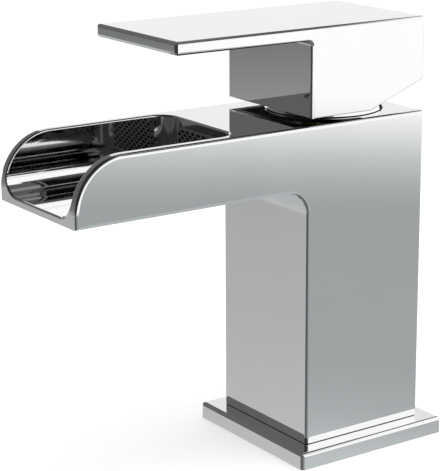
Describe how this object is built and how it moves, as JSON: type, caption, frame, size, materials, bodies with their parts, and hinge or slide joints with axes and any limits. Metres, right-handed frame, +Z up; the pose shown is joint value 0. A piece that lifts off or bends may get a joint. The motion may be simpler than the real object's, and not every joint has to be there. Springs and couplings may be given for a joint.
{
  "type": "waterfall basin faucet",
  "caption": "Single-lever waterfall basin faucet: square chromed column and base, open trough spout with a perforated flow plate, flat lever on a ceramic disc cartridge.",
  "frame": {"origin": "on the deck, on the axis of the column and cartridge, at the underside of the base", "axes": "+Z up along the column, the spout and lever point to -Y, +X to the right of a person who stands in front of the spout"},
  "size_m": [0.0572, 0.1324, 0.1381],
  "materials": {
    "chromed_casting": "cast brass, polished and chrome plated",
    "chromed_trim": "brass, polished and chrome plated",
    "chromed_handle": "die-cast zinc, polished and chrome plated",
    "flow_plate_plastic": "satin dark grey moulded plastic",
    "white_plastic": "white moulded acetal",
    "grey_plastic": "grey glass-filled plastic",
    "ceramic_disc": "lapped alumina",
    "black_rubber": "matt black rubber",
    "bare_brass": "machined brass",
    "steel_pin": "ground stainless steel",
    "index_plastic": "gloss red and blue plastic"
  },
  "bodies": {
    "root": {"body_casting": "chromed_casting", "base_flange": "chromed_trim", "base_gasket": "black_rubber", "flow_plate": "flow_plate_plastic", "flow_plate_seal": "black_rubber", "cartridge_base": "white_plastic", "port_seals": "black_rubber", "fixed_disc": "ceramic_disc", "cartridge_housing": "white_plastic", "cartridge_seal": "black_rubber", "cartridge_nut": "bare_brass", "collar": "chromed_trim"},
    "rotor": {"rotator": "grey_plastic", "pivot_pin": "steel_pin"},
    "carrier": {"disc_carrier": "grey_plastic", "moving_disc": "ceramic_disc"},
    "lever": {"lever_stem": "bare_brass", "handle": "chromed_handle", "grub_screw": "steel_pin", "index_plug": "index_plastic"}
  },
  "joints": [
    {"name": "handle_swivel", "type": "hinge", "parent": "root", "child": "rotor", "pos_m": [0, 0, 0.104], "axis": [0, 0, 1], "range_deg": [-50, 50]},
    {"name": "lever_lift", "type": "hinge", "parent": "rotor", "child": "lever", "pos_m": [0, 0, 0.104], "axis": [-1, 0, 0], "range_deg": [0, 20]},
    {"name": "disc_slide", "type": "slide", "parent": "rotor", "child": "carrier", "axis": [0, 1, 0], "range_m": [-0.00522, 0]}
  ],
  "couplings": [
    {"joint": "disc_slide", "follows": "lever_lift", "m_per_rad": -0.014924}
  ]
}
